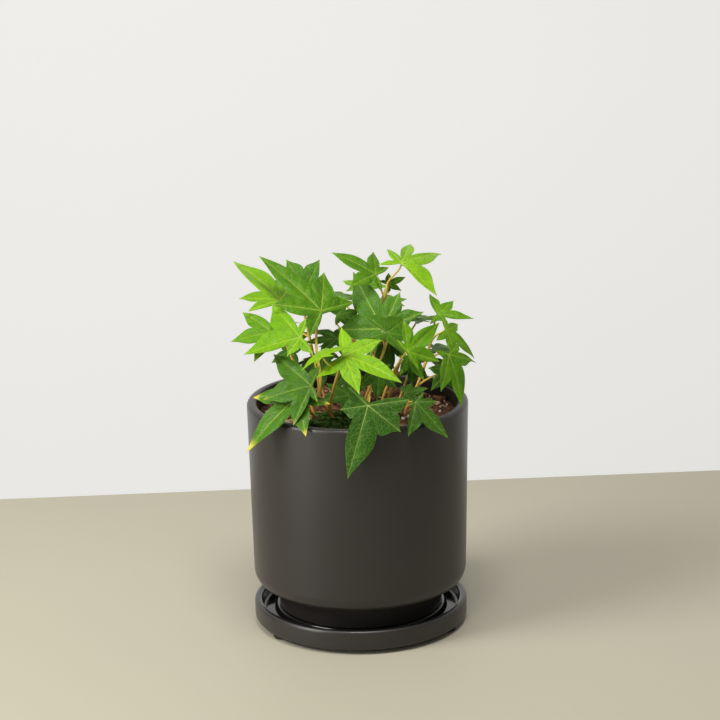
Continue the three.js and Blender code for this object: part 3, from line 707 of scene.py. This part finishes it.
stem("ivy_stem_top", (6, 6),
     [(9, 9, 145), (12, 10, 165), (15, 10, 185), (18, 7, 198), (19, 5, 205)],
     [Leaf((27, 0, 217), 77, 15, 9, (34, 21, 35, 14, 33), (0, 35, -34, 110, -130),
           0.34, 0.02, 0.16, 0.98, 0.08),
      Leaf((12, 12, 208), 174, 30, -31, (29, 21, 18, 13, 12), (0, 61, -65, 130, -115),
           0.5, -0.01, 0.1, 0.85, 0.48),
      Leaf((19, 18, 200), 27, 18, 42, (13, 9, 9, 6, 6), FAN, 0.5, 0, 0.12, 0.8, 0.55),
      Leaf((27, 4, 182), 46, 3, -1, (22, 17, 17, 12, 11), FAN, 0.5, 0, 0.13, 0.65, 0.6),
      Leaf((19, 4, 171), -84, -72, -11, (22, 17, 16, 9, 8), (0, 40, -38, 105, -105),
           0.56, 0, 0.1, 0.58, 0.95),
      Leaf((-4, 4, 152), -104, -58, 8, (23, 17, 16, 10, 9), (0, 42, -44, 105, -105),
           0.56, 0, 0.1, 0.3, 0.95)])

stem("ivy_stem_middle", (2, -8),
     [(6, -9, 142), (11, -9, 155), (16, -8, 167), (18, -7, 173)],
     [Leaf((16, -8, 180), 128, 42, -53, (44, 31, 24, 20, 26), (0, 54, -55, 118, -102),
           0.6, -0.02, 0.12, 0.98, 0.7),
      Leaf((18, -24, 182), 12, -15, 34, (21, 23, 17, 21, 12), (0, 50, -54, 139, -151),
           0.5, 0.01, 0.1, 0.9, 0.66),
      Leaf((-11, 10, 184), 19, 10, 43, (15, 10, 15, 7, 7), (0, 36, -57, 118, -118),
           0.6, 0.01, 0.12, 0.75, 0.6)])

# Leafy stems at the back: lobes in the usual proportions, with the source's small seeded draws
USUAL_LOBES = [1, 0.74, 0.74, 0.44, 0.44]
back_draw = draws_from(20713)


def plain_leaf(at, heading, climb, size, node, age):
    reach = [size * part * (0.92 + 0.16 * next(back_draw)) for part in USUAL_LOBES]
    roll = -12 + 24 * next(back_draw)
    return Leaf(at, heading, climb, roll, reach, FAN, 0.56, 0, 0.13, node, age)


stem("ivy_stem_back_left", (-18, 12),
     [(-22, 15, 142), (-26, 17, 160), (-29, 18, 176), (-31, 17, 188)],
     [Leaf((-30, 30, 194), 136, 50, -36, (24, 21, 23, 11, 11), (0, 42, -51, 118, -118),
           0.6, 0, 0.12, 0.98, 0.58),
      plain_leaf((-36, 26, 194), 132, 2, 26, 0.95, 0.4),
      plain_leaf((-44, 26, 174), 150, -18, 28, 0.75, 0.6),
      plain_leaf((-30, 40, 166), 112, -22, 33, 0.7, 0.7),
      plain_leaf((-24, 44, 150), 108, -30, 32, 0.5, 0.9),
      Leaf((-20, 5, 160), -100, -62, 6, (20, 16, 16, 9, 9), (0, 42, -42, 105, -105),
           0.6, 0, 0.1, 0.6, 0.9),
      Leaf((-39, 8, 164), -128, -55, -8, (17, 14, 14, 8, 8), (0, 44, -44, 108, -108),
           0.6, 0, 0.1, 0.72, 0.85)])

stem("ivy_stem_back", (-2, 20),
     [(-2, 24, 142), (-2, 27, 158), (-2, 28, 174), (0, 28, 186)],
     [plain_leaf((4, 30, 195), 80, 12, 24, 0.98, 0.25),
      plain_leaf((-8, 34, 188), 112, 5, 27, 0.9, 0.45),
      plain_leaf((9, 38, 176), 75, -15, 31, 0.78, 0.6),
      plain_leaf((-4, 46, 158), 95, -30, 32, 0.6, 0.85),
      Leaf((-11, 10, 170), -171, 0, -30, (19, 16, 15, 9, 10), (0, 40, -41, 100, -105),
           0.56, 0, 0.12, 0.6, 0.9)])

stem("ivy_stem_back_right", (18, 16),
     [(22, 19, 142), (27, 21, 156), (31, 22, 168)],
     [plain_leaf((36, 26, 176), 30, 4, 27, 0.98, 0.35),
      plain_leaf((21, 28, 186), 100, 10, 20, 0.95, 0.2),
      plain_leaf((46, 20, 160), 6, -14, 29, 0.8, 0.55),
      plain_leaf((28, 42, 162), 60, -25, 33, 0.75, 0.7),
      plain_leaf((42, 38, 150), 50, -28, 29, 0.55, 0.85),
      Leaf((12, 19, 160), -88, -74, 5, (20, 16, 16, 9, 9), (0, 42, -42, 105, -105),
           0.6, 0, 0.1, 0.5, 0.9)])


# Saucer: matte outside, glossy from the top of its lip inwards
def saucer():
    inner = SAUCER_RADIUS - SAUCER_WALL
    lip = SAUCER_WALL / 2 - 0.1
    outside = [
        (0, FOOT_HEIGHT),
        *arc(SAUCER_RADIUS - 3, FOOT_HEIGHT + 3, 3, 3, -90, 0, 10),
        *arc(SAUCER_RADIUS - lip, SAUCER_TOP_Z - lip, lip, lip, 0, 90, 10),
    ]
    inside = [
        *arc(inner + lip, SAUCER_TOP_Z - lip, lip, lip, 90, 180, 10),
        *arc(inner - 2, SAUCER_FLOOR_Z + 2, 2, 2, 0, -90, 8),
        *arc(RING_OUTER + 1.4, SAUCER_FLOOR_Z + SMALL_ROUND, SMALL_ROUND, SMALL_ROUND, 270, 180, 4),
        *arc(RING_OUTER - 1, RING_TOP_Z - 1, 1, 1, 0, 90, 8),
        (RING_INNER, RING_TOP_Z),
        (RING_INNER - 0.6, SAUCER_FLOOR_Z),
        (0, SAUCER_FLOOR_Z),
    ]
    profile = outside + inside
    skin = Skin()
    turned(skin, profile, [int(k >= len(outside) - 4) for k in range(len(profile) - 1)])
    skin.build("fine_saucer", "saucer", [pot_finish(), gloss_finish()])


def feet():
    rubber = rubber_finish()
    rounded = arc(FOOT_RADIUS - SMALL_ROUND, SMALL_ROUND, SMALL_ROUND, SMALL_ROUND, -90, 0, 6)
    profile = [(0, 0), *rounded, (FOOT_RADIUS, FOOT_HEIGHT), (0, FOOT_HEIGHT)]
    for number, degrees in enumerate(FOOT_ANGLES, 1):
        angle = math.radians(degrees)
        centre = (FOOT_RING_RADIUS * math.cos(angle), FOOT_RING_RADIUS * math.sin(angle))
        skin = Skin()
        turned(skin, profile, steps=48, centre=centre)
        skin.build(f"fine_foot_{number}", f"foot_{number}", [rubber])


def pot():
    inner_top = POT_TOP_RADIUS - POT_WALL
    inner_base = POT_BASE_RADIUS - POT_WALL
    profile = [
        (DRAIN_RADIUS, POT_BASE_Z),
        (POT_FOOT_INNER - 0.5, POT_BASE_Z),
        (POT_FOOT_INNER, RING_TOP_Z),
        *arc(POT_FOOT_OUTER - SMALL_ROUND, RING_TOP_Z + SMALL_ROUND, SMALL_ROUND, SMALL_ROUND, -90, 0, 5),
        (POT_FOOT_OUTER + 0.5, POT_BASE_Z - 0.6),
        (POT_FOOT_OUTER + 1.1, POT_BASE_Z),
        *arc(POT_BASE_RADIUS - POT_HEEL_WIDTH, POT_BASE_Z + POT_HEEL_HEIGHT,
             POT_HEEL_WIDTH, POT_HEEL_HEIGHT, -90, 0, 18),
        *arc(POT_TOP_RADIUS - POT_LIP, POT_TOP_Z - POT_LIP, POT_LIP, POT_LIP, 0, 90, 12),
        *arc(inner_top + POT_LIP, POT_TOP_Z - POT_LIP, POT_LIP, POT_LIP, 90, 180, 12),
        (inner_base, POT_FLOOR_Z + 4),
        (inner_base - 4, POT_FLOOR_Z),
        (DRAIN_RADIUS, POT_FLOOR_Z),
    ]
    skin = Skin()
    turned(skin, profile)
    skin.build("fine_pot", "pot", [bpy.data.materials["matte_charcoal"]])


# Potting mix: a rough bed with bark shards, crumbs, perlite grains and moss
STEM_ROOTS = [(-14, -21), (-26, -4), (-24, -18), (2, -24), (20, -22), (12, -14), (28, -6), (6, 6), (2, -8),
              (-18, 12), (-2, 20), (18, 16)]
MOSS_PATCHES = [(-16, -36, 9), (-23, -28, 8), (-10, -28, 8), (-13, -45, 8), (-18, -14, 7), (-6, -14, 6),
                (3, -44, 7), (16, -45, 6), (34, -36, 6)]
strew = np.random.default_rng(41)


def bed_z(x, y):
    """Height of the bed: a low crown with hollows and mounds."""
    radius = math.hypot(x, y)
    mounds = noise.noise(Vector((0.11 * x, 0.11 * y, 3.0)))
    hollows = noise.noise(Vector((0.4 * x, 0.4 * y, 8.0)))
    rough = mounds + 0.4 * hollows
    return SOIL_TOP_Z - 0.9 + SOIL_CROWN * (1 - radius / SOIL_RADIUS) + rough


def bed(skin):
    points = [(0, 0, bed_z(0, 0))]
    angles = np.linspace(0, 2 * math.pi, BED_STEPS, endpoint=False)
    for ring in range(1, BED_RINGS + 1):
        radius = (SOIL_RADIUS - 0.1) * ring / BED_RINGS
        for angle in angles:
            x, y = radius * math.cos(angle), radius * math.sin(angle)
            points.append((x, y, bed_z(x, y)))
    for radius, z in ((POT_BASE_RADIUS - POT_WALL - 0.4, POT_FLOOR_Z + 4), (53, POT_FLOOR_Z)):
        for angle in angles:
            points.append((radius * math.cos(angle), radius * math.sin(angle), z))
    points.append((0, 0, POT_FLOOR_Z))
    last = len(points) - 1
    sides = [(i, (i + 1) % BED_STEPS) for i in range(BED_STEPS)]
    faces = [(0, 1 + i, 1 + j) for i, j in sides]
    for ring in range(BED_RINGS + 1):
        low, high = 1 + ring * BED_STEPS, 1 + (ring + 1) * BED_STEPS
        faces.extend((low + i, high + i, high + j, low + j) for i, j in sides)
    faces.extend((last, high + j, high + i) for i, j in sides)
    skin.add(points, faces, 0, (0.3, 0, 1))


def ball(detail):
    """Points and faces of a ball made of small triangles."""
    mesh = bmesh.new()
    bmesh.ops.create_icosphere(mesh, subdivisions=detail, radius=1)
    points = np.array([vertex.co[:] for vertex in mesh.verts])
    faces = [[vertex.index for vertex in face.verts] for face in mesh.faces]
    mesh.free()
    return points, faces


def strewn_place(size):
    """A place on the bed clear of the wall and of the stems."""
    while True:
        radius = (SOIL_RADIUS - 0.6 - size / 2) * math.sqrt(strew.random())
        angle = 2 * math.pi * strew.random()
        x, y = radius * math.cos(angle), radius * math.sin(angle)
        if min(math.hypot(x - a, y - b) for a, b in STEM_ROOTS) > STEM_CLEARANCE + size / 2:
            return x, y


def grains(skin, count, sizes, shape, rise, slot, shades, detail=1, ragged=0.3, smooth=False):
    """Rough grains, each stretched and turned its own way. Small ones are the most frequent."""
    points, faces = ball(detail)
    for _ in range(count):
        size = sizes[0] + (sizes[1] - sizes[0]) * strew.random() ** 2
        x, y = strewn_place(size)
        stretch = np.array(shape) * (0.75 + 0.5 * strew.random(3))
        own = points * (1 + ragged * (strew.random((len(points), 1)) - 0.5)) * stretch * size / 2
        pitch, bank = 0.9 * (strew.random(2) - 0.5)
        tilt = Matrix.Rotation(pitch, 3, "X") @ Matrix.Rotation(bank, 3, "Y")
        turn = np.array(Matrix.Rotation(2 * math.pi * strew.random(), 3, "Z") @ tilt)
        own = own @ turn.T + (x, y, bed_z(x, y) + rise * size * (0.6 + 0.8 * strew.random()))
        shade = shades[0] + (shades[1] - shades[0]) * strew.random() ** 1.5
        skin.add(own, faces, slot, (shade, 0, 1), smooth=smooth)


def moss(skin):
    """Low tufts of pointed leaflets, in patches behind the front rim."""
    for x0, y0, spread in MOSS_PATCHES:
        for _ in range(TUFTS):
            x = x0 + spread * (strew.random() - 0.5) * 2
            y = y0 + spread * (strew.random() - 0.5) * 1.4
            if math.hypot(x, y) > SOIL_RADIUS - 3:
                continue
            foot = np.array([x, y, bed_z(x, y) + 0.6 + 1.6 * strew.random()])
            shade = strew.random()
            for _ in range(LEAFLETS):
                turn = 2 * math.pi * strew.random()
                out = np.array([math.cos(turn), math.sin(turn), 0])
                side = np.array([-math.sin(turn), math.cos(turn), 0])
                length = 1.2 + 1.6 * strew.random()
                lift = np.array([0, 0, 0.5 + 0.7 * strew.random()])
                middle = foot + 0.45 * length * (out + lift)
                tip = foot + length * (out + 0.6 * lift)
                leaflet = [foot, middle + 0.3 * side, tip, middle - 0.3 * side]
                skin.add(leaflet, [(0, 1, 2, 3)], 2, (shade, 0, 1))


def soil():
    skin = Skin()
    bed(skin)
    grains(skin, 1500, (0.7, 1.8), (1, 0.8, 0.6), 0.15, 0, (0.1, 0.75))
    grains(skin, 900, (1.6, 6.5), (1.25, 0.7, 0.4), 0.12, 0, (0.15, 1.0))
    grains(skin, 90, (0.9, 2.4), (1, 0.9, 0.8), 0.2, 1, (0, 1), detail=2, ragged=0.22, smooth=True)
    moss(skin)
    skin.build("fine_soil", "soil", [mix_finish(), perlite_finish(), moss_finish()])


saucer()
pot()
feet()
soil()


# Camera: 120 mm lens, 1.4 m away, looking 15.45 degrees down and turned a degree about its own axis
CAMERA_TARGET = Vector((1.94, 0, 159.4)) * MM
CAMERA_DISTANCE = 1.404
CAMERA_PITCH = math.radians(15.45)
CAMERA_ROLL = math.radians(-1.0)
LENS = 120
SENSOR = 36
FAR_CLIP = 20
back = Vector((0, -math.cos(CAMERA_PITCH), math.sin(CAMERA_PITCH)))
right = Vector((1, 0, 0))
over = back.cross(right)
right_edge = right * math.cos(CAMERA_ROLL) + over * math.sin(CAMERA_ROLL)
top_edge = over * math.cos(CAMERA_ROLL) - right * math.sin(CAMERA_ROLL)
camera_data = bpy.data.cameras.new("camera")
camera_data.lens = LENS
camera_data.sensor_width = SENSOR
camera_data.clip_end = FAR_CLIP
camera = bpy.data.objects.new("camera", camera_data)
turn = Matrix((right_edge, top_edge, back)).transposed().to_4x4()
camera.matrix_world = Matrix.Translation(CAMERA_TARGET + CAMERA_DISTANCE * back) @ turn
bpy.context.scene.collection.objects.link(camera)
bpy.context.scene.camera = camera


# Stage: a pale table top whose far edge shows behind the pot, and a white wall further back that glows
# with painted light, brighter on the left
def table_finish():
    f = Finish("pale_table", roughness=0.6, specular=0.3)
    place = f.place()
    cloud = f.noise(place, 5.0, 3.0)
    f.set(color=f.mix(cloud, (0.42, 0.395, 0.31, 1), (0.45, 0.425, 0.33, 1)))
    f.set(normal=f.bump(f.noise(place, 300.0, 3.0), 0.0002, 0.2))
    return f.material


def wall_finish():
    f = Finish("white_wall", roughness=0.9, specular=0.1)
    place = f.place()
    sideways = f.split(place)[0]
    f.set(color=f.mix(f.noise(place, 1.5, 2.0), (0.84, 0.83, 0.82, 1), (0.88, 0.87, 0.86, 1)))
    # Painted light: the wall glows, brighter on the left towards the key lamp and dimmer to the right
    painted_wall_light = f.mix(f.step(sideways, -0.6, 0.6), (0.80, 0.79, 0.77, 1), (0.74, 0.74, 0.72, 1))
    f.plug(f.shader.inputs["Emission Color"], painted_wall_light)
    f.shader.inputs["Emission Strength"].default_value = 0.53
    return f.material


def board(name, corners, material):
    mesh = bpy.data.meshes.new(name)
    mesh.from_pydata([Vector(corner) * MM for corner in corners], [], [tuple(range(len(corners)))])
    mesh.materials.append(material)
    made = bpy.data.objects.new(name, mesh)
    bpy.context.scene.collection.objects.link(made)


board("table", [(-900, -1300, 0), (900, -1300, 0), (900, 313, 0), (-900, 183, 0)], table_finish())
board("wall", [(-3000, 2000, -2500), (3000, 2000, -2500), (3000, 2000, 3000), (-3000, 2000, 3000)],
      wall_finish())


def lamp(name, place, target, power, size, color):
    data = bpy.data.lights.new(name, "AREA")
    data.energy = power
    data.size = size
    data.color = color
    made = bpy.data.objects.new(name, data)
    aim = (Vector(target) - Vector(place)) * MM
    made.location = Vector(place) * MM
    made.rotation_euler = aim.to_track_quat("-Z", "Y").to_euler()
    bpy.context.scene.collection.objects.link(made)


lamp("key", (-900, -450, 900), (0, 0, 120), 12, 0.5, (1, 0.98, 0.94))
lamp("window", (-1000, -700, 200), (0, 0, 100), 5, 0.5, (1, 0.99, 0.97))
lamp("top", (20, -350, 1200), (0, 0, 120), 8, 0.35, (1, 0.98, 0.95))
lamp("rim", (1500, 300, 500), (0, 0, 100), 0.4, 0.9, (0.95, 0.98, 1))

world = bpy.data.worlds.new("studio")
world.use_nodes = True
world.node_tree.nodes["Background"].inputs["Color"].default_value = (0.62, 0.62, 0.60, 1)
world.node_tree.nodes["Background"].inputs["Strength"].default_value = 0.46
bpy.context.scene.world = world
bpy.context.scene.view_settings.view_transform = "Standard"
